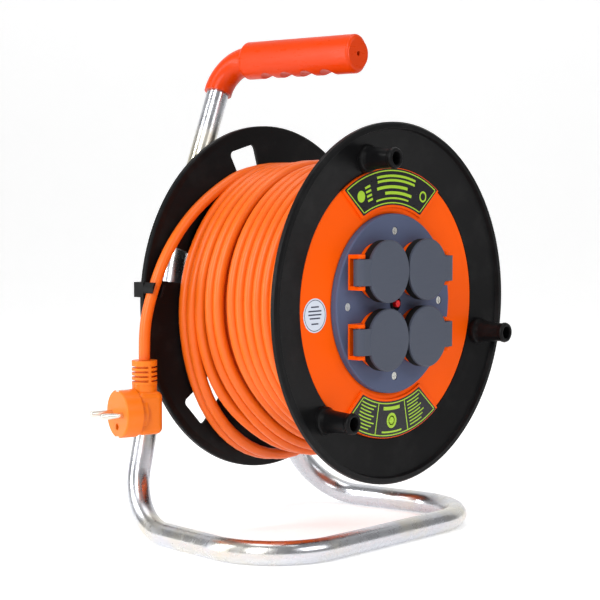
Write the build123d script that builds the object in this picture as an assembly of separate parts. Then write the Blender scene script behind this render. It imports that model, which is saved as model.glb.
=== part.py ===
from build123d import *
from math import cos, degrees, pi, radians, sin, tan
import os

# Extension cord reel: a drum on a rear stub axle, carried by one bent steel tube.
# Frame: z = 0 is the floor, +Z up, the drum turns about Y, and the socket panel faces -Y.
# Shapes are drawn about the drum's centre and moved to their place by save().
DRUM_Y = -15.4
DRUM_Z = 197.0

# Drum
FLANGE_R = 145.0
RIM_IN_R = 139.0
RIM_FRONT = 73.5          # outer plane of both rims, from the drum's centre
RIM_BACK = 67.7
DISH_R = 109.0            # the web is flat inside this radius and conical outside it
WEB_IN = 63.0
WEB_OUT = 65.5
SEAT_OUT = 64.4           # the front web is thinner where the cover ring lies on it
BARREL_R = 72.0
BARREL_WALL = 3.0
WINDOW_COUNT = 6
WINDOW_FIRST_DEG = 105.0
WINDOW_R = (98.0, 131.0)
WINDOW_HALF_DEG = 6.75
RIB_T = 3.0

# Winding posts on the front flange
POST_R = 120.0
POST_DEG = (106.0, 226.0, 346.0)
POST_TIP = 98.5
POST_BORE_R = 5.3
POST_SEAT = 69.7          # the flange's boss that the post stands on
POST_SPIGOT_R = 7.0

# Panel
RING_OUT = 67.3           # the cover ring's raised pads, under the labels
RING_FACE = 65.6          # the rest of its front face
LABEL_R = (79.0, 108.0)
LABEL_HALF_DEG = (27.0, 33.0)
STICKER_R = 13.2
STICKER_AT = (-92.0, -5.0)
FILM_T = 0.25
PLATE_R = 72.0
PLATE_OUT = 70.4          # front face of the socket plate
PANEL_SCREW_R = 58.2
TIE_BOLT_R = 65.5
TIE_BOLT_FIRST_DEG = 30.0

# Sockets and lids
SOCKET_X = 25.0
SOCKET_Z = 27.0
TOWER_R = 22.0
TOWER_TOP = 80.9
WELL_R = 19.5
WELL_DEPTH = 17.5
SOCKET_FLOOR = 2.5
PIN_PITCH = 19.0
LID_R = 24.8
LID_FRONT = 85.6
LID_T = 2.8
SEAL_T = 0.7
SEAL_SKIRT_END = 76.5
HINGE_X = 55.0
HINGE_Y = 79.2
HINGE_PIN_R = 1.5
KNUCKLE_R = 3.8
STRAP_H = 20.6
EAR_T = 3.0
EAR_GAP = 21.6
FOOT_T = 1.6
BUTTON_R = 2.9
CUTOUT_FRONT = -58.0
NECK_END = -70.8

# Axle and bearings
AXLE_R = 8.0
AXLE_THREAD_R = 6.0
HUB_BORE_R = 11.0
HUB_FRONT = 8.0
HUB_BACK = 98.0
BUSH_LENGTH = 16.0
PLATE_BACK = 107.5        # where the bearing plate meets the stand tube
PLATE_FRONT = 103.5

# Stand
TUBE_R = 9.5
TUBE_WALL = 1.5
LEG_Y = 117.0
FLOOR = -DRUM_Z
BASE_Z = FLOOR + TUBE_R
GRIP_Z = 201.0
GRIP_FRONT = -32.0
TUBE_FRONT = -25.0
STAND_ROUTE = (
    (0, TUBE_FRONT, GRIP_Z),
    (0, LEG_Y, GRIP_Z),
    (-56, LEG_Y, 60),
    (-116, LEG_Y, BASE_Z),
    (-139, -65, BASE_Z),
    (139, -65, BASE_Z),
    (116, LEG_Y, BASE_Z),
    (0, LEG_Y, 0),
)
GRIP_BEND_R = 28.0
STAND_RADII = (GRIP_BEND_R, 100, 50, 60, 60, 50)
LEG_JOINT = (-48.6, LEG_Y, 78.6)
GRIP_SIZE = (26.0, 32.0)
GRIP_NECK_R = 12.0
GRIP_OVAL_END = 92.0
GROOVE_R = 10.0
GROOVE_DEPTH = 4.2
GROOVE_Y = (-2.0, 20.0, 42.0, 64.0)
GRIP_MOUTH = (-10.7, LEG_Y, 174.0)

# Cable
CABLE_R = 4.5
INNER_TURNS_R = 105.0     # the tight layers, which turn with the drum
OUTER_TURNS_IN_R = 105.6
OUTER_TURNS_R = 115.5
SAG_CENTRE = (-5.0, -25.5)
SAG_R = 107.5             # the slack of the outer turns hangs below the drum
WINDING_HALF = 62.4
CLIP_AT = (-141.6, 60.0, 12.0)
CLIP_H = 12.0
CLIP_LEAN_DEG = 22.0      # the cable crosses the clip at this angle from upright
PLUG_X = -152.0
PLUG_Y = 60.0
PLUG_Z = -84.0
PLUG_TURN_DEG = -16.3
PLUG_FACE = -24.0
PLUG_R = 19.0
RELIEF_R = 10.0
RELIEF_CORE_R = 7.4
RELIEF_TOP = -43.0
RELIEF_BASE = -62.0
TAIL_ROUTE = (
    (-42.3, 57.5, 104.8),
    (-64.0, 58.0, 94.9),
    (-85.2, 58.8, 82.3),
    (-104.0, 59.3, 67.5),
    (-119.7, 59.7, 50.8),
    (-132.0, 60.0, 32.9),
    (-140.3, 60.0, 16.0),
    (-146.2, 60.2, 1.3),
    (-150.4, 60.2, -13.2),
    (PLUG_X, PLUG_Y, -28.0),
    (PLUG_X, PLUG_Y, RELIEF_TOP),
)
TERMINALS_BOTTOM = -31.0
INNER_LEAD_ROUTE = (
    (0, -20, -71.5),
    (0, -20, -50),
    (3, -24, TERMINALS_BOTTOM - 0.8),
)

CORNERS = tuple((sx, sz) for sz in (1, -1) for sx in (-1, 1))


def save(shape, node):
    moved = Pos(0, DRUM_Y, DRUM_Z) * shape
    moved.label = node
    export_step(moved, f"parts/{node}.step")


def rod(radius, y0, y1, x=0.0, z=0.0):
    """A cylinder along Y from y0 to y1."""
    base = Cylinder(radius, y1 - y0, align=(Align.CENTER, Align.CENTER, Align.MIN))
    return Pos(x, y0, z) * Rot(-90, 0, 0) * base


def ring(outer, inner, y0, y1, x=0.0, z=0.0):
    return rod(outer, y0, y1, x, z) - rod(inner, y0 - 1, y1 + 1, x, z)


def pillar(radius, z0, z1, x=0.0, y=0.0):
    """A cylinder along Z from z0 to z1."""
    base = Cylinder(radius, z1 - z0, align=(Align.CENTER, Align.CENTER, Align.MIN))
    return Pos(x, y, z0) * base


def block(x0, x1, y0, y1, z0, z1):
    """A box between two corners, given in either order."""
    box = Box(abs(x1 - x0), abs(y1 - y0), abs(z1 - z0))
    return Pos((x0 + x1) / 2, (y0 + y1) / 2, (z0 + z1) / 2) * box


def turned(points):
    """Revolve an outline of (radius, y) points about the drum's axis."""
    face = make_face(Polyline(*[(r, y, 0) for r, y in points], close=True))
    return revolve(face, axis=Axis.Y)


def around_y(shape, angle_deg):
    """Turn a shape drawn at +X by an angle that runs from +X to +Z."""
    return Rot(0, -angle_deg, 0) * shape


def polar(radius, angle_deg):
    return radius * cos(radians(angle_deg)), radius * sin(radians(angle_deg))


def group(solids):
    return Compound(list(solids))


def tube(route, radii, outer, inner=0.0):
    path = FilletPolyline(*route, radius=list(radii))
    plane = Plane(origin=path @ 0, z_dir=path % 0)
    section = Circle(outer)
    if inner:
        section -= Circle(inner)
    return sweep(plane * section, path=path), path


def route_radii(name, route):
    """The largest tangent arc that fits each corner's two runs."""
    radii = []
    for before, here, after in zip(route, route[1:], route[2:]):
        run_in = Vector(*here) - Vector(*before)
        run_out = Vector(*after) - Vector(*here)
        turn = radians(run_in.get_angle(run_out))
        radii.append(0.45 * min(run_in.length, run_out.length) / tan(turn / 2))
    print(name, "radii", [round(radius, 1) for radius in radii])
    return radii


def checked_tube(name, route, radius):
    solid, path = tube(route, route_radii(name, route), radius)
    print(name, "length", round(path.length, 1), "volume ratio",
          round(solid.volume / (pi * radius ** 2 * path.length), 4))
    return solid


def coil_spring(radius, wire_r, height, turns):
    path = Helix(pitch=height / turns, height=height, radius=radius)
    plane = Plane(origin=path @ 0, z_dir=path % 0)
    return sweep(plane * Circle(wire_r), path=path, is_frenet=True)


# ---------------------------------------------------------------- stand

def stand_tube():
    bent, _ = tube(STAND_ROUTE, STAND_RADII, TUBE_R, TUBE_R - TUBE_WALL)
    start = Vector(*STAND_ROUTE[-1])
    reach = Vector(*LEG_JOINT) - start
    plane = Plane(origin=start, z_dir=reach)
    stub = extrude(plane * (Circle(TUBE_R) - Circle(TUBE_R - TUBE_WALL)), reach.length)
    leg_top = Vector(*STAND_ROUTE[1])
    leg = Vector(*STAND_ROUTE[2]) - leg_top
    leg_solid = extrude(Plane(origin=leg_top, z_dir=leg) * Circle(TUBE_R), leg.length)
    return bent + (stub - leg_solid)


def grip():
    """An oval grip with four finger grooves, drawn round at the bend and the mouth."""
    route = ((0, GRIP_FRONT, GRIP_Z), (0, LEG_Y, GRIP_Z), GRIP_MOUTH)
    width, height = GRIP_SIZE
    path = FilletPolyline(*route, radius=GRIP_BEND_R)
    neck = sweep(Plane(origin=path @ 0, z_dir=path % 0) * Circle(GRIP_NECK_R), path=path)
    straight = Plane(origin=path @ 0, x_dir=(1, 0, 0), z_dir=path % 0)
    outer = extrude(straight * Ellipse(width / 2, height / 2), GRIP_OVAL_END - GRIP_FRONT)
    outer = fillet(outer.edges(), 4) + neck
    bore_route = ((0, TUBE_FRONT, GRIP_Z), (0, LEG_Y, GRIP_Z), STAND_ROUTE[2])
    bore, _ = tube(bore_route, (GRIP_BEND_R,), TUBE_R + 0.05)
    outer -= bore
    outer -= rod(2.0, GRIP_FRONT - 1, TUBE_FRONT + 1, 0, GRIP_Z)
    groove_z = GRIP_Z - height / 2 - GROOVE_R + GROOVE_DEPTH
    for y in GROOVE_Y:
        groove = Cylinder(GROOVE_R, width + 10)
        outer -= Pos(0, y, groove_z) * Rot(0, 90, 0) * groove
    return outer


def bearing_plate():
    lean = degrees(pi / 2 - Vector(1, 0, 0).get_angle(Vector(116, 0, 187.5)) * pi / 180)
    plate = Box(34, PLATE_BACK - PLATE_FRONT, 74)
    plate = fillet(plate.edges().filter_by(Axis.Y), 6)
    plate = Pos(0, (PLATE_BACK + PLATE_FRONT) / 2, 0) * Rot(0, -lean, 0) * plate
    return plate - rod(AXLE_R, PLATE_FRONT - 1, PLATE_BACK + 1)


def axle():
    shank = rod(AXLE_R, HUB_FRONT - 2, PLATE_BACK)
    thread = rod(AXLE_THREAD_R, HUB_FRONT - 22, HUB_FRONT - 2)
    return shank + thread


def axle_nut():
    y0 = HUB_FRONT - 17
    hexagon = extrude(Plane.XZ * RegularPolygon(9.5, 6, major_radius=False), -10)
    return Pos(0, y0, 0) * hexagon - rod(AXLE_THREAD_R, y0 - 1, y0 + 11)


def axle_washers():
    front = ring(14, AXLE_THREAD_R + 0.1, HUB_FRONT - 6.5, HUB_FRONT - 4)
    back = ring(14, AXLE_R + 0.1, HUB_BACK + 2.4, HUB_BACK + 4.4)
    return group((front, back))


def bearing_bush(side):
    bore = AXLE_R + 0.06
    if side == "front":
        sleeve = ring(HUB_BORE_R, bore, HUB_FRONT, HUB_FRONT + BUSH_LENGTH)
        return sleeve + ring(13.5, bore, HUB_FRONT - 2, HUB_FRONT)
    sleeve = ring(HUB_BORE_R, bore, HUB_BACK - BUSH_LENGTH, HUB_BACK)
    return sleeve + ring(13.5, bore, HUB_BACK, HUB_BACK + 2)


# ---------------------------------------------------------------- drum

def window_cutter(angle_deg):
    r0, r1 = WINDOW_R
    corners = [
        polar(r0, -WINDOW_HALF_DEG),
        polar(r1, -WINDOW_HALF_DEG),
        polar(r1, WINDOW_HALF_DEG),
        polar(r0, WINDOW_HALF_DEG),
    ]
    face = make_face(Polyline(*[(x, 0, z) for x, z in corners], close=True))
    prism = extrude(face, 20, dir=(0, 1, 0), both=False)
    prism = fillet(prism.edges().filter_by(Axis.Y), 4)
    return Pos(0, WEB_IN - 5, 0) * around_y(prism, angle_deg)


def rear_flange():
    body = turned((
        (HUB_BORE_R, HUB_FRONT), (15, HUB_FRONT), (15, WEB_IN), (DISH_R, WEB_IN),
        (RIM_IN_R, RIM_BACK), (FLANGE_R - 1, RIM_BACK), (FLANGE_R, RIM_BACK + 1),
        (FLANGE_R, RIM_FRONT - 1.5), (FLANGE_R - 1.5, RIM_FRONT), (RIM_IN_R + 1, RIM_FRONT),
        (RIM_IN_R, RIM_BACK + 2.5), (DISH_R, WEB_OUT), (28, WEB_OUT), (22, HUB_BACK),
        (HUB_BORE_R, HUB_BACK),
    ))
    rib_outline = (
        (24, WEB_OUT - 1), (DISH_R, WEB_OUT - 1), (RIM_IN_R + 0.5, RIM_BACK + 1.5),
        (RIM_IN_R + 0.5, RIM_FRONT - 1.5), (24, RIM_FRONT - 1.5),
    )
    rib = extrude(make_face(Polyline(*rib_outline, close=True)), RIB_T / 2, both=True)
    step = 360 / WINDOW_COUNT
    for k in range(WINDOW_COUNT):
        body += around_y(rib, WINDOW_FIRST_DEG + step * (k + 0.5))
    for k in range(WINDOW_COUNT):
        body -= window_cutter(WINDOW_FIRST_DEG + step * k)
    body += ring(94, 91, WEB_OUT - 1, WEB_OUT + 4)
    for x, z in tie_bolt_places():
        body -= rod(2.1, WEB_IN - 1, WEB_OUT + 12, x, z)
    return body


def tie_bolt_places():
    return [polar(TIE_BOLT_R, TIE_BOLT_FIRST_DEG + 90 * k) for k in range(4)]


def panel_screw_places():
    return [polar(PANEL_SCREW_R, 90 * k) for k in range(4)]


def front_flange():
    body = turned((
        (61, -SEAT_OUT), (61, -WEB_IN), (DISH_R, -WEB_IN), (RIM_IN_R, -RIM_BACK),
        (FLANGE_R - 1, -RIM_BACK), (FLANGE_R, -RIM_BACK - 1), (FLANGE_R, -RIM_FRONT + 1.5),
        (FLANGE_R - 1.5, -RIM_FRONT), (RIM_IN_R + 1, -RIM_FRONT), (RIM_IN_R, -RIM_BACK - 2.5),
        (DISH_R, -WEB_OUT), (DISH_R, -SEAT_OUT),
    ))
    lug = block(52, 64, -SEAT_OUT, -50, -6, 6)
    for k in range(4):
        body += around_y(lug, 90 * k)
    for x, z in panel_screw_places():
        body -= rod(1.6, -WEB_OUT - 1, -53, x, z)
    for x, z in tie_bolt_places():
        body -= rod(2.1, -WEB_OUT - 1, -WEB_IN + 1, x, z)
    for angle in POST_DEG:
        x, z = polar(POST_R, angle)
        boss = rod(11.1, -POST_SEAT, -RIM_BACK + 2, x, z)
        body += boss
        body -= rod(POST_SPIGOT_R, -POST_SEAT - 1, -WEB_IN, x, z)
    return body


def winding_post(angle_deg):
    """A hollow tapered post with a flared foot and a rounded bead at its tip."""
    outline = (
        (POST_BORE_R, -POST_SEAT + 3), (POST_SPIGOT_R, -POST_SEAT + 3),
        (POST_SPIGOT_R, -POST_SEAT), (11.0, -POST_SEAT), (10.9, -POST_SEAT - 1), (9.9, -72),
        (9.1, -74.5), (8.5, -79), (7.6, -POST_TIP + 6), (7.7, -POST_TIP + 4.6),
        (8.3, -POST_TIP + 3.6), (8.4, -POST_TIP + 2), (7.9, -POST_TIP + 0.7),
        (7.0, -POST_TIP), (POST_BORE_R + 0.6, -POST_TIP), (POST_BORE_R, -POST_TIP + 0.6),
    )
    x, z = polar(POST_R, angle_deg)
    return Pos(x, 0, z) * turned(outline)


def drum_barrel():
    shell = ring(BARREL_R, BARREL_R - BARREL_WALL, -WEB_IN, WEB_IN)
    x, y, z = INNER_LEAD_ROUTE[0]
    return shell - pillar(CABLE_R + 0.5, z - 5, z + 5, x, y)


def tie_bolts():
    """Countersunk screws through both flanges, with a nut behind."""
    bolts = []
    for x, z in tie_bolt_places():
        shank = rod(2.0, -SEAT_OUT, WEB_OUT + 6, x, z)
        head = rod(3.4, -RING_OUT, -SEAT_OUT, x, z)
        nut = rod(3.6, WEB_OUT, WEB_OUT + 3.2, x, z)
        bolts.append(shank + head + nut)
    return group(bolts)


def cover_ring():
    """A flat ring with a raised pad under each label."""
    body = turned((
        (PLATE_R + 0.2, -SEAT_OUT), (PLATE_R + 0.2, -SEAT_OUT - 0.5),
        (PLATE_R + 2.2, -RING_FACE), (DISH_R - 1.2, -RING_FACE),
        (DISH_R - 0.2, -RING_FACE + 0.7), (DISH_R - 0.2, -SEAT_OUT),
    ))
    r0, r1 = LABEL_R
    half0, half1 = LABEL_HALF_DEG
    for centre in (90, -90):
        pad = sector(r0 - 1.8, r1 + 0.6, half0 + 1.6, half1 + 1.2, centre, RING_OUT - RING_FACE + 0.4)
        body += Pos(0, RING_OUT - RING_FACE + 0.4, 0) * pad
    return body


def socket_plate():
    body = turned((
        (0, -RING_OUT), (PLATE_R - 2.2, -RING_OUT), (PLATE_R - 2.2, -SEAT_OUT),
        (PLATE_R, -SEAT_OUT), (PLATE_R, -PLATE_OUT + 1), (PLATE_R - 1, -PLATE_OUT),
        (0, -PLATE_OUT),
    ))
    for sx, sz in CORNERS:
        body -= rod(TOWER_R + 0.1, -PLATE_OUT - 1, -RING_OUT + 1, sx * SOCKET_X, sz * SOCKET_Z)
    for x, z in panel_screw_places():
        body -= rod(1.7, -PLATE_OUT - 1, -RING_OUT + 1, x, z)
        body -= rod(3.4, -PLATE_OUT - 1, -PLATE_OUT + 1.6, x, z)
    return body - rod(4.9, -PLATE_OUT - 1, -RING_OUT + 1)


def panel_screws():
    screws = []
    for x, z in panel_screw_places():
        head = rod(3.1, -PLATE_OUT + 0.4, -PLATE_OUT + 1.6, x, z)
        slot = block(x - 2.4, x + 2.4, -PLATE_OUT, -PLATE_OUT + 1.0, z - 0.4, z + 0.4)
        cross = block(x - 0.4, x + 0.4, -PLATE_OUT, -PLATE_OUT + 1.0, z - 2.4, z + 2.4)
        shank = rod(1.6, -PLATE_OUT + 1.6, -54, x, z)
        screws.append(head + shank - slot - cross)
    return group(screws)


# ---------------------------------------------------------------- sockets

def hinge_ears(sx, sz):
    """Two ears on a foot that stands on the plate, one on each side of the lid's strap."""
    x_in, x_out = HINGE_X - 7, HINGE_X + 3.2
    half = EAR_GAP / 2 + EAR_T
    ears = block(x_in - 9, x_out, -PLATE_OUT - FOOT_T, -PLATE_OUT, -half, half)
    for side in (-1, 1):
        z0, z1 = side * EAR_GAP / 2, side * half
        ears += block(x_in, x_out, -HINGE_Y, -PLATE_OUT, z0, z1)
        ears += pillar(4, min(z0, z1), max(z0, z1), HINGE_X - 0.8, -HINGE_Y)
    ears -= pillar(HINGE_PIN_R, -20, 20, HINGE_X, -HINGE_Y)
    ears = ears if sx > 0 else mirror(ears, Plane.YZ)
    return Pos(0, 0, sz * SOCKET_Z) * ears


def socket(sx, sz):
    x, z = sx * SOCKET_X, sz * SOCKET_Z
    floor = -TOWER_TOP + WELL_DEPTH
    body = rod(TOWER_R, -TOWER_TOP, floor + SOCKET_FLOOR, x, z)
    body += ring(TOWER_R + 1.4, TOWER_R - 1, -RING_OUT, -RING_OUT + 1.8, x, z)
    body += hinge_ears(sx, sz)
    body -= rod(WELL_R, -TOWER_TOP - 1, floor, x, z)
    for side in (-1, 1):
        body -= rod(2.9, floor - 1, floor + SOCKET_FLOOR + 1, x + side * PIN_PITCH / 2, z)
        slot = block(x - 3.2, x + 3.2, -TOWER_TOP + 3, floor, z, z + side * (WELL_R + 1.2))
        body -= slot
    return body


def earth_clips():
    """Two sprung earth straps in each well, joined behind its floor."""
    clips = []
    floor = -TOWER_TOP + WELL_DEPTH
    for sx, sz in CORNERS:
        x, z = sx * SOCKET_X, sz * SOCKET_Z
        for side in (-1, 1):
            reach = side * (WELL_R - 0.2)
            strap = block(x - 2.5, x + 2.5, -TOWER_TOP + 5, floor, z + reach, z + reach + side * 0.8)
            toe = block(x - 2.5, x + 2.5, -TOWER_TOP + 5, -TOWER_TOP + 9,
                        z + reach - side * 1.2, z + reach)
            clips.append(strap + toe)
    return group(clips)


def contact_sleeves():
    """Slotted brass sleeves behind the pin holes."""
    sleeves = []
    back = -TOWER_TOP + WELL_DEPTH + SOCKET_FLOOR
    for sx, sz in CORNERS:
        for side in (-1, 1):
            x = sx * SOCKET_X + side * PIN_PITCH / 2
            z = sz * SOCKET_Z
            sleeve = ring(3.3, 2.5, back, back + 11, x, z)
            sleeves.append(sleeve - block(x - 5, x + 5, back + 2, back + 12, z - 0.5, z + 0.5))
    return group(sleeves)


def busbars():
    """Two punched strips that join the sleeves of each pole, and a third for earth."""
    strips = []
    y0 = -TOWER_TOP + WELL_DEPTH + SOCKET_FLOOR + 11
    for sx in (-1, 1):
        x = sx * (SOCKET_X + PIN_PITCH / 2)
        strips.append(block(x - 3, x + 3, y0, y0 + 1.2, -SOCKET_Z - 4, SOCKET_Z + 4))
    return group(strips)


def lid(sx, sz):
    """A round flap with a strap that curls round the hinge pin."""
    x, z = SOCKET_X, 0.0
    disc = rod(LID_R, -LID_FRONT, -LID_FRONT + LID_T, x, z)
    disc = chamfer(disc.edges().sort_by(Axis.Y)[0], 0.8)
    knuckle = pillar(KNUCKLE_R, -STRAP_H / 2, STRAP_H / 2, HINGE_X, -HINGE_Y)
    strap = block(x + 18, HINGE_X, -LID_FRONT + 0.3, -LID_FRONT + LID_T, -STRAP_H / 2, STRAP_H / 2)
    bend_r = LID_FRONT - 0.3 - HINGE_Y
    bend = pillar(bend_r, -STRAP_H / 2, STRAP_H / 2, HINGE_X, -HINGE_Y)
    quarter = block(HINGE_X, HINGE_X + 10, -LID_FRONT - 1, -HINGE_Y + 1, -20, 20)
    inner = pillar(bend_r - 2.2, -20, 20, HINGE_X, -HINGE_Y)
    web = block(HINGE_X - 1, HINGE_X + bend_r, -HINGE_Y - 1, -HINGE_Y + 1,
                -STRAP_H / 2, STRAP_H / 2)
    body = disc + strap + ((bend & quarter) - inner) + web + knuckle
    body += block(HINGE_X - 2.5, HINGE_X + 1, -LID_FRONT + 1, -HINGE_Y, -STRAP_H / 2, STRAP_H / 2)
    body -= pillar(HINGE_PIN_R + 0.06, -20, 20, HINGE_X, -HINGE_Y)
    body -= pillar(3.0, -4, 4, HINGE_X, -HINGE_Y)
    body = body if sx > 0 else mirror(body, Plane.YZ)
    return Pos(0, 0, sz * SOCKET_Z) * body


def lid_seal(sx, sz):
    """A rubber ring under the lid that closes on the socket's rim and hangs outside it."""
    x, z = sx * SOCKET_X, sz * SOCKET_Z
    top = -LID_FRONT + LID_T
    web = ring(LID_R - 0.2, WELL_R - 0.5, top, top + SEAL_T, x, z)
    skirt = ring(LID_R - 0.2, TOWER_R + 0.7, top, -SEAL_SKIRT_END, x, z)
    return web + skirt


def lid_pins():
    reach = EAR_GAP / 2 + EAR_T
    pins = [
        pillar(HINGE_PIN_R, sz * SOCKET_Z - reach, sz * SOCKET_Z + reach, sx * HINGE_X, -HINGE_Y)
        for sx, sz in CORNERS
    ]
    return group(pins)


def lid_springs():
    springs = []
    for sx, sz in CORNERS:
        spring = coil_spring(2.25, 0.3, 6.4, 6)
        springs.append(Pos(sx * HINGE_X, -HINGE_Y, sz * SOCKET_Z - 3.2) * spring)
    return group(springs)


# ---------------------------------------------------------------- overload cut-out

def thermal_cutout():
    body = block(-11, 11, CUTOUT_FRONT, -40, -15, 15)
    body = fillet(body.edges().filter_by(Axis.Y), 1.5)
    body += rod(4.8, NECK_END, CUTOUT_FRONT)
    body -= rod(BUTTON_R + 0.3, NECK_END - 1, -59)
    return body - rod(1.7, -60, -50)


def reset_collar():
    return ring(6.0, 4.85, -PLATE_OUT - 1.4, -PLATE_OUT)


def reset_button():
    cap = rod(BUTTON_R, -74, -66)
    cap = fillet(cap.edges().sort_by(Axis.Y)[0], 0.8)
    return cap + rod(1.4, -66, -55)


def reset_spring():
    spring = coil_spring(2.1, 0.28, 6.2, 5)
    return Pos(0, -65.6, 0) * Rot(-90, 0, 0) * spring


def terminal_block():
    body = block(-14, 20, -31, -17, TERMINALS_BOTTOM + 0.3, TERMINALS_BOTTOM + 17)
    for x in (-8, 3, 14):
        body -= rod(2.2, -32, -24, x, TERMINALS_BOTTOM + 9)
    return body


def cord_clamp():
    x, y, z = INNER_LEAD_ROUTE[0]
    body = block(x - 12, x + 12, y - 8, y + 8, z + 4.5, z + 14)
    for side in (-1, 1):
        body -= pillar(1.6, z, z + 20, x + side * 8.5, y)
    return body - pillar(CABLE_R + 0.05, z, z + 20, x, y)


# ---------------------------------------------------------------- labels

def sector(r0, r1, half0_deg, half1_deg, centre_deg, thickness):
    """A label whose ends run straight from the inner to the outer arc."""
    mid0 = polar(r0, centre_deg)
    mid1 = polar(r1, centre_deg)
    a = polar(r0, centre_deg - half0_deg)
    b = polar(r1, centre_deg - half1_deg)
    c = polar(r1, centre_deg + half1_deg)
    d = polar(r0, centre_deg + half0_deg)

    def at(p):
        return (p[0], 0, p[1])

    outline = (
        Line(at(a), at(b)) + ThreePointArc(at(b), at(mid1), at(c))
        + Line(at(c), at(d)) + ThreePointArc(at(d), at(mid0), at(a))
    )
    plate = extrude(make_face(outline), thickness, dir=(0, -1, 0))
    return Pos(0, -RING_OUT, 0) * plate


# ---------------------------------------------------------------- cable and plug

def cable_inner_turns():
    return ring(INNER_TURNS_R, BARREL_R + 0.3, -WINDING_HALF, WINDING_HALF)


def cable_outer_turns():
    """The last layer: tight over the top, slack and sagging underneath."""
    x, z = SAG_CENTRE
    outline = rod(OUTER_TURNS_R, -WINDING_HALF, WINDING_HALF)
    outline += rod(SAG_R, -WINDING_HALF, WINDING_HALF, x, z)
    return outline - rod(OUTER_TURNS_IN_R, -WINDING_HALF - 1, WINDING_HALF + 1)


def cable_clip():
    """A clip pushed over the rear rim, with two prongs that hold the cable's end."""
    x, y, z = CLIP_AT
    y0, y1 = y + CABLE_R + 0.4, y + CABLE_R + 1.8
    z0, z1 = z - CLIP_H / 2, z + CLIP_H / 2
    x_out = -FLANGE_R - 3.2
    inner = block(x_out, -130.5, y0, y1, z0, z1)
    over_rim = block(x_out, -FLANGE_R + 2, y0, RIM_FRONT + 2.2, z0, z1)
    back = block(x_out, -FLANGE_R + 8, RIM_FRONT, RIM_FRONT + 2.2, z0, z1)
    body = inner + over_rim - rod(FLANGE_R, y1, RIM_FRONT) + back
    for side, y_tip in ((-1, y - 6), (1, y - 4.5)):
        gap = CABLE_R + 0.7
        prong = block(side * gap, side * (gap + 1.7), y_tip, y1, -CLIP_H / 2, CLIP_H / 2)
        body += Pos(x, 0, z) * Rot(0, CLIP_LEAN_DEG, 0) * prong
    return body & block(x_out, 0, 0, 100, z0, z1)


def in_plug(shape):
    """Place a shape drawn with its pins along -X and its centre at the origin."""
    return Pos(PLUG_X, PLUG_Y, PLUG_Z) * Rot(0, 0, PLUG_TURN_DEG) * shape


def along_x(radius, x0, x1, y=0.0, z=0.0):
    base = Cylinder(radius, x1 - x0, align=(Align.CENTER, Align.CENTER, Align.MIN))
    return Pos(x0, y, z) * Rot(0, 90, 0) * base


def plug_body():
    puck = along_x(PLUG_R, PLUG_FACE, -10)
    puck = fillet(puck.edges().sort_by(Axis.X)[0], 1.2)
    back = fillet(block(-11, 11, -12.5, 12.5, -17, 17).edges(), 5)
    body = puck + along_x(15.5, -11, -4) + back
    body += pillar(RELIEF_R - 0.2, 10, -PLUG_Z + RELIEF_BASE)
    for side in (-1, 1):
        body -= block(PLUG_FACE - 1, -14, -3.1, 3.1, side * PLUG_R, side * (PLUG_R - 1.6))
    return in_plug(body - along_x(2.6, PLUG_FACE - 1, -8, 0, -10))


def plug_strain_relief():
    """A sleeve with four rings that are joined by two ribs."""
    length = RELIEF_TOP - RELIEF_BASE
    body = pillar(RELIEF_R, 0, length)
    ribs = block(-1.2, 1.2, -RELIEF_R, RELIEF_R, 0, length)
    for k in range(4):
        z = 2.4 + 3.6 * k
        body -= pillar(RELIEF_R + 1, z, z + 1.5) - pillar(RELIEF_CORE_R, z, z + 1.5) - ribs
    return in_plug(Pos(0, 0, RELIEF_BASE - PLUG_Z) * body)


def plug_pins():
    pins = []
    for side in (-1, 1):
        pin = along_x(2.4, PLUG_FACE - 19, PLUG_FACE, side * PIN_PITCH / 2)
        pins.append(in_plug(fillet(pin.edges().sort_by(Axis.X)[0], 1.6)))
    return group(pins)


def plug_earth_strips():
    strips = []
    for side in (-1, 1):
        strip = block(PLUG_FACE + 0.3, -14, -3, 3, side * PLUG_R, side * (PLUG_R - 1.6))
        strips.append(in_plug(strip & along_x(PLUG_R, -30, 0)))
    return group(strips)


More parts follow.
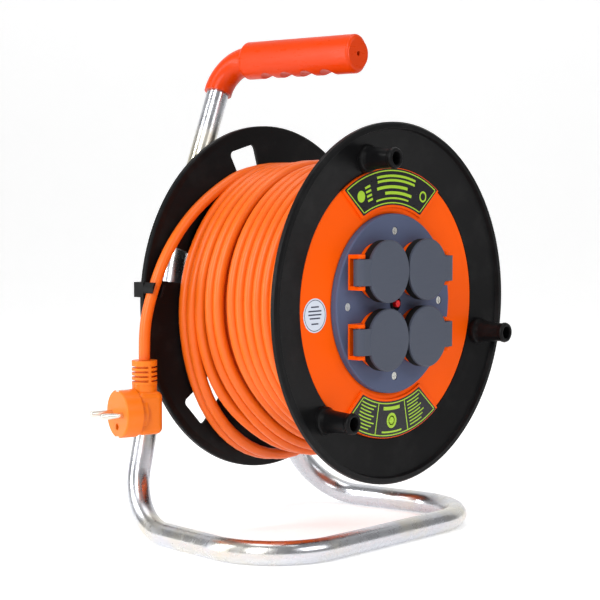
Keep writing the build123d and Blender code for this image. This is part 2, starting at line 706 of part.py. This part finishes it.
def main():
    os.makedirs("parts", exist_ok=True)
    nodes = {
        "stand_tube": stand_tube,
        "grip": grip,
        "bearing_plate": bearing_plate,
        "axle": axle,
        "axle_nut": axle_nut,
        "axle_washers": axle_washers,
        "rear_flange": rear_flange,
        "front_flange": front_flange,
        "drum_barrel": drum_barrel,
        "tie_bolts": tie_bolts,
        "cover_ring": cover_ring,
        "socket_plate": socket_plate,
        "panel_screws": panel_screws,
        "earth_clips": earth_clips,
        "contact_sleeves": contact_sleeves,
        "busbars": busbars,
        "lid_pins": lid_pins,
        "lid_springs": lid_springs,
        "thermal_cutout": thermal_cutout,
        "reset_collar": reset_collar,
        "reset_button": reset_button,
        "reset_spring": reset_spring,
        "terminal_block": terminal_block,
        "cord_clamp": cord_clamp,
        "cable_inner_turns": cable_inner_turns,
        "cable_outer_turns": cable_outer_turns,
        "cable_clip": cable_clip,
        "plug_body": plug_body,
        "plug_strain_relief": plug_strain_relief,
        "plug_pins": plug_pins,
        "plug_earth_strips": plug_earth_strips,
    }
    for node, make in nodes.items():
        save(make(), node)
    for side in ("front", "rear"):
        save(bearing_bush(side), f"bearing_bush_{side}")
    for number, angle in enumerate(POST_DEG, start=1):
        save(winding_post(angle), f"winding_post_{number}")
    for number, (sx, sz) in enumerate(CORNERS, start=1):
        save(socket(sx, sz), f"socket_{number}")
        save(lid(sx, sz), f"lid_{number}")
        save(lid_seal(sx, sz), f"lid_seal_{number}")
    save(sector(*LABEL_R, *LABEL_HALF_DEG, 90, FILM_T), "label_top")
    save(sector(*LABEL_R, *LABEL_HALF_DEG, -90, FILM_T), "label_bottom")
    x, z = STICKER_AT
    save(rod(STICKER_R, -RING_FACE - FILM_T, -RING_FACE, x, z), "round_sticker")
    save(checked_tube("cable_tail", TAIL_ROUTE, CABLE_R), "cable_tail")
    save(checked_tube("inner_lead", INNER_LEAD_ROUTE, CABLE_R), "inner_lead")


main()
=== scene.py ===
import math

import bmesh
import bpy
from mathutils import Matrix, Vector


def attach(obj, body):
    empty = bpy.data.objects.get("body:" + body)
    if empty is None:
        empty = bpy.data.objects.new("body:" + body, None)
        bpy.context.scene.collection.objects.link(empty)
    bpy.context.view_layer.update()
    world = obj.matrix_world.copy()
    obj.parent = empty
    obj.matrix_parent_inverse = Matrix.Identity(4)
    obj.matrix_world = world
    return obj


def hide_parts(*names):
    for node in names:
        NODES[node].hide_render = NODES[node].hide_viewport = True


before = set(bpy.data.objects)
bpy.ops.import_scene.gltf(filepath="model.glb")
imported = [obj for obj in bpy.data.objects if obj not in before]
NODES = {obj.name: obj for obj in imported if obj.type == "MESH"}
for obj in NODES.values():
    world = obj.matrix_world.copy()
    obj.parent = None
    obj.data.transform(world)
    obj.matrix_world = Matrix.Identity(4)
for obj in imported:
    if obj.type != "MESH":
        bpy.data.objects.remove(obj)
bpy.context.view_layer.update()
scene = bpy.context.scene

# Shapes are given in millimetres about the drum's centre: angles run from +X to +Z.
MM = 0.001
CENTRE = Vector((0.0, -15.4, 197.0))
CABLE_R = 4.5


def at(x, y, z):
    return (Vector((x, y, z)) + CENTRE) * MM


def spot(radius, angle_deg, y):
    a = math.radians(angle_deg)
    return at(radius * math.cos(a), y, radius * math.sin(a))


def srgb(red, green, blue):
    def linear(value):
        value /= 255
        return value / 12.92 if value <= 0.04045 else ((value + 0.055) / 1.055) ** 2.4
    return linear(red), linear(green), linear(blue), 1.0


def shade(colour, factor):
    return tuple(min(1.0, part * factor) for part in colour[:3]) + (1.0,)


PRINT_INKS = {
    "ink_white": srgb(216, 218, 224),
    "ink_green": srgb(158, 196, 44),
    "ink_yellow": srgb(214, 196, 60),
    "ink_grey": srgb(120, 124, 140),
    "ink_dark": srgb(52, 56, 74),
}


# ---------------------------------------------------------------- camera and light

CAMERA_AT = Vector((-1.05828, -0.92704, 0.28651))
CAMERA_RIGHT = Vector((0.66530, -0.74658, 0.00041))
CAMERA_FORWARD = Vector((0.74506, 0.66391, -0.06411))
LENS_MM = 101.3
SENSOR_MM = 36
WORLD_STRENGTH = 0.3
LIGHT_TARGET = (0, -0.02, 0.18)
# name, place, size in metres, power in watts
LIGHTS = (
    ("key", (-1.7, -0.5, 1.1), (0.35, 1.6), 25),
    ("strip", (-1.3, 0.9, 0.7), (0.2, 1.4), 13),
    ("front", (0.3, -2.2, 1.5), (1.4, 1.0), 18),
    ("top", (0.2, 0.1, 2.2), (1.4, 1.4), 15),
)
FLOOR_HALF = 6.0          # the floor reaches this far to the sides and in front
FLOOR_END = 2.4           # where it starts to curve up
COVE_R = 1.2
BACKDROP_TOP = 6.0
FLOOR_TURN_DEG = -48      # the backdrop stands behind the object as the camera sees it
SHARP_DEG = 35


def make_camera():
    data = bpy.data.cameras.new("camera")
    data.sensor_width = SENSOR_MM
    data.lens = LENS_MM
    data.clip_start, data.clip_end = 0.05, 20
    camera = bpy.data.objects.new("camera", data)
    scene.collection.objects.link(camera)
    right = CAMERA_RIGHT.normalized()
    forward = CAMERA_FORWARD.normalized()
    up = right.cross(forward)
    turn = Matrix((right, up, -forward)).transposed()
    camera.matrix_world = Matrix.Translation(CAMERA_AT) @ turn.to_4x4()
    scene.camera = camera


def area_light(name, place, size, power):
    data = bpy.data.lights.new(name, "AREA")
    data.shape = "RECTANGLE"
    data.size, data.size_y = size
    data.energy = power
    light = bpy.data.objects.new(name, data)
    scene.collection.objects.link(light)
    light.location = place
    aim = Vector(LIGHT_TARGET) - Vector(place)
    light.rotation_euler = aim.to_track_quat("-Z", "Y").to_euler()


def make_studio():
    world = bpy.data.worlds.new("studio")
    world.use_nodes = True
    background = world.node_tree.nodes["Background"]
    background.inputs["Color"].default_value = (1, 1, 1, 1)
    background.inputs["Strength"].default_value = WORLD_STRENGTH
    scene.world = world
    for light in LIGHTS:
        area_light(*light)
    scene.view_settings.view_transform = "Standard"
    scene.view_settings.look = "None"


def make_floor():
    """A pale floor that curves up into a backdrop behind the object."""
    bm = bmesh.new()
    outline = [(-FLOOR_HALF, 0.0), (FLOOR_END, 0.0)]
    for k in range(1, 10):
        a = math.radians(10 * k)
        outline.append((FLOOR_END + COVE_R * math.sin(a), COVE_R - COVE_R * math.cos(a)))
    outline.append((FLOOR_END + COVE_R, BACKDROP_TOP))
    rows = []
    for along, height in outline:
        rows.append([bm.verts.new((side, along, height)) for side in (-FLOOR_HALF, FLOOR_HALF)])
    for low, high in zip(rows, rows[1:]):
        bm.faces.new((low[0], low[1], high[1], high[0]))
    floor = new_object("floor", bm)
    floor.rotation_euler = (0, 0, math.radians(FLOOR_TURN_DEG))
    paint(floor, backdrop())


def new_object(name, bm):
    mesh = bpy.data.meshes.new(name)
    bm.normal_update()
    bm.to_mesh(mesh)
    bm.free()
    mesh.shade_smooth()
    mesh.set_sharp_from_angle(angle=math.radians(SHARP_DEG))
    made = bpy.data.objects.new(name, mesh)
    scene.collection.objects.link(made)
    return made


def paint(piece, *materials):
    piece.data.materials.clear()
    for material in materials:
        piece.data.materials.append(material)


# ---------------------------------------------------------------- materials

class Nodes:
    """A short way to add and join shader nodes."""

    def __init__(self, name):
        self.material = bpy.data.materials.new(name)
        self.material.use_nodes = True
        self.tree = self.material.node_tree
        self.shader = self.tree.nodes["Principled BSDF"]
        self.where = self.tree.nodes.new("ShaderNodeTexCoord").outputs["Object"]

    def add(self, kind, **values):
        node = self.tree.nodes.new(kind)
        for key, value in values.items():
            setattr(node, key, value)
        return node

    def join(self, source, target):
        self.tree.links.new(source, target)

    def set(self, **values):
        for key, value in values.items():
            self.shader.inputs[key.replace("_", " ")].default_value = value

    def stretched(self, scale):
        mapping = self.add("ShaderNodeMapping")
        mapping.inputs["Scale"].default_value = scale
        self.join(self.where, mapping.inputs["Vector"])
        return mapping.outputs["Vector"]

    def noise(self, scale, detail, roughness=0.5, vector=None):
        node = self.add("ShaderNodeTexNoise")
        node.inputs["Scale"].default_value = scale
        node.inputs["Detail"].default_value = detail
        node.inputs["Roughness"].default_value = roughness
        self.join(vector or self.where, node.inputs["Vector"])
        return node.outputs["Fac"]

    def between(self, value, low, high, out_low=0.0, out_high=1.0):
        node = self.add("ShaderNodeMapRange")
        self.join(value, node.inputs["Value"])
        for key, number in zip(
            ("From Min", "From Max", "To Min", "To Max"), (low, high, out_low, out_high)
        ):
            node.inputs[key].default_value = number
        return node.outputs["Result"]

    def mix(self, factor, first, second):
        node = self.add("ShaderNodeMix", data_type="RGBA")
        for socket, value in ((0, factor), (6, first), (7, second)):
            if isinstance(value, bpy.types.NodeSocket):
                self.join(value, node.inputs[socket])
            else:
                node.inputs[socket].default_value = value
        return node.outputs[2]

    def bump(self, height, strength, distance, under):
        node = self.add("ShaderNodeBump")
        node.inputs["Strength"].default_value = strength
        node.inputs["Distance"].default_value = distance
        self.join(height, node.inputs["Height"])
        self.join(under, node.inputs["Normal"])
        return node.outputs["Normal"]

    def soft_edges(self, radius):
        """Normals that run round sharp edges, as a moulded or tumbled edge does."""
        node = self.add("ShaderNodeBevel", samples=4)
        node.inputs["Radius"].default_value = radius * MM
        return node.outputs["Normal"]

    def colour(self, socket):
        self.join(socket, self.shader.inputs["Base Color"])

    def rough(self, socket):
        self.join(socket, self.shader.inputs["Roughness"])

    def normal(self, socket):
        self.join(socket, self.shader.inputs["Normal"])


def backdrop():
    n = Nodes("floor")
    n.set(Base_Color=(0.93, 0.93, 0.93, 1), Roughness=0.85, Specular_IOR_Level=0.1,
          Emission_Color=(1, 1, 1, 1), Emission_Strength=0.36)
    return n.material


def plastic(name, colour, roughness, grain, depth, vary, dust=0.0, gloss=0.4, edge=0.45):
    """Moulded plastic: faint flow variation, fine spark-eroded grain, handling scuffs."""
    n = Nodes(name)
    n.set(Specular_IOR_Level=gloss)
    cloud = n.between(n.noise(scale=9.0, detail=2.0), low=0.3, high=0.7)
    base = n.mix(cloud, shade(colour, 1 - vary), shade(colour, 1 + vary))
    speck = n.between(n.noise(scale=420.0, detail=2.0), low=0.62, high=0.75, out_high=0.35)
    base = n.mix(speck, base, shade(colour, 1 - 2.2 * vary))
    if dust:
        film = n.noise(scale=38.0, detail=5.0, roughness=0.65)
        base = n.mix(n.between(film, low=0.5, high=0.8, out_high=dust), base, DUST_COLOUR)
    n.colour(base)
    scuff = n.noise(scale=60.0, detail=6.0, roughness=0.7, vector=n.stretched((1.0, 1.0, 6.0)))
    n.rough(n.between(scuff, low=0.3, high=0.75, out_low=roughness - 0.07,
                      out_high=roughness + 0.12))
    fine = n.noise(scale=grain, detail=2.0)
    n.normal(n.bump(fine, strength=0.35, distance=depth, under=n.soft_edges(edge)))
    return n.material


def metal(name, colour, roughness, streaks, tint=None):
    """Drawn or plated metal with fine streaks, dull patches and a faint tint."""
    n = Nodes(name)
    n.set(Metallic=1.0)
    streak = n.noise(scale=160.0, detail=4.0, roughness=0.6, vector=n.stretched(streaks))
    base = n.mix(n.between(streak, low=0.3, high=0.7), shade(colour, 0.86), colour)
    if tint:
        patch = n.noise(scale=16.0, detail=4.0, roughness=0.6)
        base = n.mix(n.between(patch, low=0.48, high=0.72, out_high=0.75), base, tint)
    n.colour(base)
    dull = n.noise(scale=45.0, detail=5.0, roughness=0.65)
    n.rough(n.between(dull, low=0.3, high=0.75, out_low=roughness * 0.7,
                      out_high=roughness * 1.6))
    n.normal(n.bump(streak, strength=0.12, distance=0.00004, under=n.soft_edges(0.3)))
    return n.material


DUST_COLOUR = (0.35, 0.34, 0.33, 1)
# name: colour, roughness, grain's fineness and depth in metres, variation of colour, the rest
PLASTICS = {
    "orange_sheath": (srgb(226, 98, 16), 0.36, 1400, 0.00004, 0.05, {"gloss": 0.35}),
    "orange_panel": (srgb(240, 86, 2), 0.45, 1100, 0.00005, 0.04, {"gloss": 0.07}),
    "orange_grip": (srgb(200, 56, 2), 0.3, 700, 0.00005, 0.05, {"gloss": 0.18}),
    "orange_plug": (srgb(230, 114, 14), 0.34, 900, 0.00005, 0.05, {"gloss": 0.3}),
    "black_plastic": (srgb(14, 14, 15), 0.36, 800, 0.00007, 0.12,
                      {"dust": 0.02, "gloss": 0.1, "edge": 0.7}),
    "grey_panel": (srgb(78, 86, 112), 0.45, 1000, 0.00006, 0.05, {"gloss": 0.12}),
    "dark_grey_lid": (srgb(68, 73, 86), 0.46, 900, 0.00007, 0.06, {"gloss": 0.25}),
    "black_rubber": (srgb(18, 18, 18), 0.66, 600, 0.00008, 0.08, {"gloss": 0.2}),
    "white_nylon": (srgb(222, 220, 210), 0.45, 700, 0.00004, 0.03, {}),
    "red_button": (srgb(222, 6, 18), 0.28, 900, 0.00003, 0.05, {}),
    "label_film": (srgb(14, 12, 19), 0.3, 500, 0.00002, 0.05, {"gloss": 0.3, "edge": 0.1}),
    "sticker_film": (srgb(200, 207, 219), 0.38, 500, 0.00002, 0.03, {"edge": 0.1}),
}
# name: colour, roughness, how the streaks are stretched, and the tint of the patches
METALS = {
    "zinc_tube": ((0.66, 0.67, 0.71, 1), 0.25, (1.0, 1.0, 8.0), (0.7, 0.64, 0.46, 1)),
    "turned_steel": ((0.56, 0.56, 0.58, 1), 0.28, (1.0, 9.0, 1.0)),
    "zinc_fastener": ((0.7, 0.71, 0.72, 1), 0.26, (1.0, 5.0, 1.0), (0.7, 0.66, 0.5, 1)),
    "brass": ((0.83, 0.62, 0.28, 1), 0.24, (9.0, 1.0, 1.0)),
    "nickel_pin": ((0.76, 0.73, 0.66, 1), 0.18, (9.0, 1.0, 1.0)),
}


def make_materials():
    made = {}
    for name, (*values, options) in PLASTICS.items():
        made[name] = plastic(name, *values, **options)
    for name, values in METALS.items():
        made[name] = metal(name, *values)
    for name, colour in PRINT_INKS.items():
        made[name] = plastic(name, colour, 0.35, 700, 0.00001, 0.04, gloss=0.3, edge=0.02)
    return made


# ---------------------------------------------------------------- cable

# One row for each turn of the slack last layer, front to rear: its radius at the top and at
# the bottom, how far up the left its slack reaches, and its y where it crosses each of
# KNOT_DEG. The rearmost turns hang lowest, apart from the three before them.
KNOT_DEG = (90, 180, 205, 225, 245, 270, 310, 350)
OUTER_TURNS = (
    (109.2, 106.5, 60, (-54.0, -49.2, -50.5, -53.5, -56.5, -58.0, -55.5, -47.6)),
    (109.2, 110.3, 60, (-45.0, -40.2, -41.6, -45.2, -49.0, -50.6, -47.6, -39.0)),
    (109.2, 110.4, 60, (-36.0, -31.2, -32.6, -36.4, -40.4, -42.0, -39.0, -30.0)),
    (109.2, 110.5, 60, (-27.0, -22.2, -23.7, -27.8, -31.8, -33.5, -30.5, -21.0)),
    (109.2, 110.8, 60, (-18.0, -13.2, -14.8, -19.0, -23.2, -25.0, -22.0, -12.0)),
    (109.2, 111.6, 60, (-9.0, -4.0, -5.8, -10.2, -14.7, -16.5, -13.5, -3.0)),
    (108.8, 115.0, 60, (0.0, 5.5, 3.6, -1.5, -6.2, -7.8, -5.0, 6.0)),
    (111.2, 121.5, 62, (9.2, 18.5, 17.5, 11.5, 4.5, 1.5, 5.0, 15.5)),
    (111.0, 126.5, 62, (18.4, 27.5, 27.5, 22.0, 13.5, 10.0, 15.0, 25.0)),
    (109.8, 125.8, 70, (30.6, 39.5, 41.6, 38.6, 25.5, 19.4, 26.0, 36.5)),
    (109.6, 133.3, 90, (39.7, 49.0, 50.0, 49.4, 47.0, 46.0, 46.3, 46.8)),
    (109.6, 134.3, 90, (48.8, 58.0, 58.0, 57.8, 56.8, 56.0, 55.8, 56.5)),
)
FIRST_KNOTS = ((-90, 104.5, -58.0), (-10, 108.6, -58.2))
LAST_KNOTS = ((90, 109.8, 57.8), (180, 112.0, 58.0))
BOTTOM_DEG = 270
SAG_RIGHT_DEG = 80.0
STEPS = 24
TAIL_ROUTE = (
    (-42.3, 57.5, 104.8),
    (-64.0, 58.0, 94.9),
    (-85.2, 58.8, 82.3),
    (-104.0, 59.3, 67.5),
    (-119.7, 59.7, 50.8),
    (-132.0, 60.0, 32.9),
    (-140.3, 60.0, 16.0),
    (-146.2, 60.2, 1.3),
    (-150.4, 60.2, -13.2),
    (-152.0, 60.0, -28.0),
    (-152.0, 60.0, -43.0),
)
INNER_LAYERS = (76.8, 84.6, 92.4, 100.1)
INNER_STEPS = 16
INNER_TURNS = 13
INNER_HALF = 58.0


def over_reach(steps):
    """How much wider a quadratic spline's points lie than the circle it is to follow."""
    return 1 / (0.75 + 0.25 * math.cos(2 * math.pi / steps))


def sag_share(angle_deg, left_deg):
    """How far the slack at this angle has opened, from 0 at the sides to 1 at the bottom."""
    away = angle_deg - BOTTOM_DEG
    half = left_deg if away < 0 else SAG_RIGHT_DEG
    if abs(away) >= half:
        return 0.0
    return 0.5 * (1 + math.cos(math.pi * away / half))


def outer_knots():
    """(angle, radius, y) all along the last layer, from the front flange to the rear one."""
    knots = list(FIRST_KNOTS)
    for number, (tight, slack, left_deg, crossings) in enumerate(OUTER_TURNS):
        for angle, y in zip(KNOT_DEG, crossings):
            radius = tight + (slack - tight) * sag_share(angle, left_deg)
            knots.append((angle + 360 * number, radius, y))
    turns = len(OUTER_TURNS)
    knots += [(angle + 360 * turns, radius, y) for angle, radius, y in LAST_KNOTS]
    return knots


def slope(before, here, after, axis):
    """The slope of a smooth line through the middle one of three knots."""
    left = (here[axis] - before[axis]) / (here[0] - before[0])
    right = (after[axis] - here[axis]) / (after[0] - here[0])
    width = (here[0] - before[0], after[0] - here[0])
    return (left * width[1] + right * width[0]) / sum(width)


def smooth_between(four, angle, axis):
    """A cubic between the middle two of four knots; axis 1 is the radius and 2 is y."""
    start, end = four[1], four[2]
    span = end[0] - start[0]
    t = (angle - start[0]) / span
    m0 = slope(*four[:3], axis) * span
    m1 = slope(*four[1:], axis) * span
    return (
        (2 * t ** 3 - 3 * t ** 2 + 1) * start[axis] + (t ** 3 - 2 * t ** 2 + t) * m0
        + (3 * t ** 2 - 2 * t ** 3) * end[axis] + (t ** 3 - t ** 2) * m1
    )


def outer_points():
    """Evenly spaced places along the last layer's knots."""
    knots = outer_knots()
    reach = over_reach(STEPS)
    first = (knots[0][0] - 1,) + knots[0][1:]
    knots.insert(0, first)
    points = []
    angle = knots[1][0]
    step = 360 / STEPS
    stop = knots[-2][0]
    k = 1
    while angle <= stop + 0.01:
        while k < len(knots) - 3 and angle > knots[k + 1][0]:
            k += 1
        four = knots[k - 1:k + 3]
        radius = smooth_between(four, angle, 1) * reach
        points.append(spot(radius, angle, smooth_between(four, angle, 2)))
        angle += step
    return points


def inner_points():
    """Four tight layers on the barrel, to and fro between the flanges."""
    reach = over_reach(INNER_STEPS)
    points = []
    angle = -90.0
    for number, radius in enumerate(INNER_LAYERS):
        way = 1 if number % 2 == 0 else -1
        steps = INNER_TURNS * INNER_STEPS
        for s in range(steps + 1):
            y = way * INNER_HALF * (2 * s / steps - 1)
            points.append(spot(radius * reach, angle, y))
            angle += 360 / INNER_STEPS
        if radius != INNER_LAYERS[-1]:
            after = INNER_LAYERS[number + 1]
            for s in range(1, INNER_STEPS // 2):
                share = s / (INNER_STEPS / 2)
                climb = radius + (after - radius) * share
                points.append(spot(climb * reach, angle, way * INNER_HALF))
                angle += 360 / INNER_STEPS
    return points


def cord_curve(name, points, radius, resolution, sides):
    data = bpy.data.curves.new(name, "CURVE")
    data.dimensions = "3D"
    data.bevel_depth = radius * MM
    data.bevel_resolution = sides
    data.resolution_u = resolution
    data.use_fill_caps = True
    line = data.splines.new("NURBS")
    line.points.add(len(points) - 1)
    for knot, point in zip(line.points, points):
        knot.co = (*point, 1)
    line.order_u = 3
    line.use_endpoint_u = True
    curve = bpy.data.objects.new(name, data)
    scene.collection.objects.link(curve)
    return curve


def line_length(curve):
    bare = curve.data.copy()
    bare.bevel_depth = 0
    probe = bpy.data.objects.new("probe", bare)
    mesh = bpy.data.meshes.new_from_object(probe)
    points = [v.co for v in mesh.vertices]
    length = sum((b - a).length for a, b in zip(points, points[1:]))
    bpy.data.objects.remove(probe)
    bpy.data.meshes.remove(mesh)
    bpy.data.curves.remove(bare)
    return length


def make_cables():
    points = outer_points() + [at(*p) for p in TAIL_ROUTE]
    cable = cord_curve("cable", points, CABLE_R, 3, 5)
    paint(cable, MATERIALS["orange_sheath"])
    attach(cable, "root")
    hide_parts("cable_outer_turns", "cable_tail")
    round(line_length(cable), 2)
    points = inner_points()
    inner = cord_curve("cable_inner", points, CABLE_R, 2, 3)
    paint(inner, MATERIALS["orange_sheath"])
    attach(inner, "drum")
    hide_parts("cable_inner_turns")
    round(line_length(inner), 2)


# ---------------------------------------------------------------- printing on the labels

LABEL_FACE = -67.55
STICKER_FACE = -65.85
STICKER_AT = (-92.0, -5.0)
INK_T = 0.05
LABEL_R = (79.0, 108.0)
LABEL_HALF_DEG = (27.0, 33.0)
DEG_STEP = 1.5
DOT_SIDES = 28
BORDER_LINE = 0.9
BORDER_INSET = 1.2
BORDER_HALF_DEG = (LABEL_HALF_DEG[0] - 0.9, LABEL_HALF_DEG[1] - 0.7)
# Bars as (inner radius, outer radius, first angle, last angle, ink).
TOP_BARS = (
    (101.2, 103.1, 73.0, 101.0, "ink_white"),
    (97.6, 99.5, 73.0, 101.0, "ink_white"),
    (92.2, 94.6, 78.0, 102.0, "ink_yellow"),
    (87.4, 89.8, 74.0, 96.0, "ink_green"),
    (83.6, 85.0, 76.0, 104.0, "ink_white"),
)
TOP_DOT_RADIUS = 94.0
# Dots as (angle, ink, radius of the hole).
TOP_DOTS = ((114.5, "ink_white", 0.0), (65.0, "ink_green", 3.1))
DIVIDERS_DEG = (-101.5, -78.5)
LOWER_BARS = (
    (83.2, 86.0, -97.0, -83.0, "ink_green"),
    (103.0, 104.4, -97.0, -83.0, "ink_white"),
)
STICKER_LINES = ((6.6, 9.0), (3.4, 15.0), (0.6, 15.0), (-2.2, 12.0), (-6.4, 8.0))


class Print:
    """Thin ink patches lying on one flat face, each with its own ink."""

    def __init__(self, face_y):
        self.bm = bmesh.new()
        self.face_y = face_y
        self.inks = []

    def slab(self, loop, ink):
        if ink not in self.inks:
            self.inks.append(ink)
        index = self.inks.index(ink)
        front = [self.bm.verts.new(at(x, self.face_y - INK_T, z)) for x, z in loop]
        back = [self.bm.verts.new(at(x, self.face_y + INK_T, z)) for x, z in loop]
        made = [self.bm.faces.new(front), self.bm.faces.new(back[::-1])]
        for k, vert in enumerate(front):
            after = (k + 1) % len(front)
            made.append(self.bm.faces.new((front[after], vert, back[k], back[after])))
        for face in made:
            face.material_index = index

    def arc(self, r0, r1, a0, a1, ink):
        """A bent bar between two radii and two angles."""
        count = max(2, math.ceil(abs(a1 - a0) / DEG_STEP))
        angles = [math.radians(a0 + (a1 - a0) * k / count) for k in range(count + 1)]
        loop = [(r0 * math.cos(a), r0 * math.sin(a)) for a in angles]
        loop += [(r1 * math.cos(a), r1 * math.sin(a)) for a in reversed(angles)]
        self.slab(loop, ink)

    def bar(self, x, z, width, height, ink):
        corners = ((-1, -1), (1, -1), (1, 1), (-1, 1))
        self.slab([(x + i * width / 2, z + j * height / 2) for i, j in corners], ink)

    def dot(self, x, z, radius, ink, hole=0.0):
        turns = [2 * math.pi * k / DOT_SIDES for k in range(DOT_SIDES + 1)]
        if not hole:
            loop = [(x + radius * math.cos(a), z + radius * math.sin(a)) for a in turns[:-1]]
            self.slab(loop, ink)
            return
        for a, b in zip(turns, turns[1:]):
            loop = [(x + r * math.cos(t), z + r * math.sin(t))
                    for r, t in ((hole, a), (radius, a), (radius, b), (hole, b))]
            self.slab(loop, ink)

    def finish(self, name):
        bmesh.ops.recalc_face_normals(self.bm, faces=self.bm.faces)
        piece = new_object(name, self.bm)
        paint(piece, *[MATERIALS[ink] for ink in self.inks])
        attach(piece, "drum")


def border(sheet, middle_deg, ink):
    """A thin line just inside the label's edge."""
    r0, r1 = LABEL_R[0] + BORDER_INSET, LABEL_R[1] - BORDER_INSET
    h0, h1 = BORDER_HALF_DEG
    line = BORDER_LINE
    sheet.arc(r0, r0 + line, middle_deg - h0, middle_deg + h0, ink)
    sheet.arc(r1 - line, r1, middle_deg - h1, middle_deg + h1, ink)
    for side in (-1, 1):
        corners = []
        for radius, half, inset in ((r0, h0, 0), (r1, h1, 0), (r1, h1, 1), (r0, h0, 1)):
            a = math.radians(middle_deg + side * (half - inset * math.degrees(line / radius)))
            corners.append((radius * math.cos(a), radius * math.sin(a)))
        sheet.slab(corners, ink)


def print_top_label():
    sheet = Print(LABEL_FACE)
    border(sheet, 90, "ink_green")
    for bar in TOP_BARS:
        sheet.arc(*bar)
    for angle, ink, hole in TOP_DOTS:
        a = math.radians(angle)
        sheet.dot(TOP_DOT_RADIUS * math.cos(a), TOP_DOT_RADIUS * math.sin(a), 4.6, ink, hole)
    for k in range(4):
        sheet.arc(86.5 + 3.6 * k, 88.3 + 3.6 * k, 106.5, 110.5, "ink_white")
    sheet.finish("label_top_print")


def print_bottom_label():
    """Three panels: rows of short lines at the sides and a ringed dot in the middle."""
    sheet = Print(LABEL_FACE)
    border(sheet, -90, "ink_green")
    for angle in DIVIDERS_DEG:
        sheet.arc(81.0, 106.0, angle - 0.3, angle + 0.3, "ink_green")
    for k in range(8):
        radius = 83.4 + 2.75 * k
        short = (2 * k) % 5 * 0.8
        sheet.arc(radius, radius + 1.0, -116.0 + 0.05 * k, -103.6 - short, "ink_white")
        sheet.arc(radius, radius + 1.0, -76.4, -64.5 - short, "ink_white")
    sheet.dot(0.0, -94.5, 6.2, "ink_grey")
    sheet.dot(0.0, -94.5, 3.9, "ink_white", 3.0)
    for bar in LOWER_BARS:
        sheet.arc(*bar)
    sheet.finish("label_bottom_print")


def print_sticker():
    sheet = Print(STICKER_FACE)
    x, z = STICKER_AT
    sheet.dot(x, z, 12.2, "ink_dark", 11.7)
    for rise, width in STICKER_LINES:
        sheet.bar(x, z + rise, width, 1.1, "ink_dark")
    sheet.finish("sticker_print")


# ---------------------------------------------------------------- the CAD pieces

def paint_nodes():
    """Each CAD node takes the finish of its own slot."""
    for name, node in NODES.items():
        for slot in node.material_slots:
            finish = MATERIALS.get(slot.material.name.split(".")[0])
            if finish is None:
                print("no finish for", name, slot.material.name)
            else:
                slot.material = finish


make_camera()
MATERIALS = make_materials()
make_cables()
print_top_label()
print_bottom_label()
print_sticker()
make_studio()
make_floor()
paint_nodes()

bpy.context.view_layer.update()
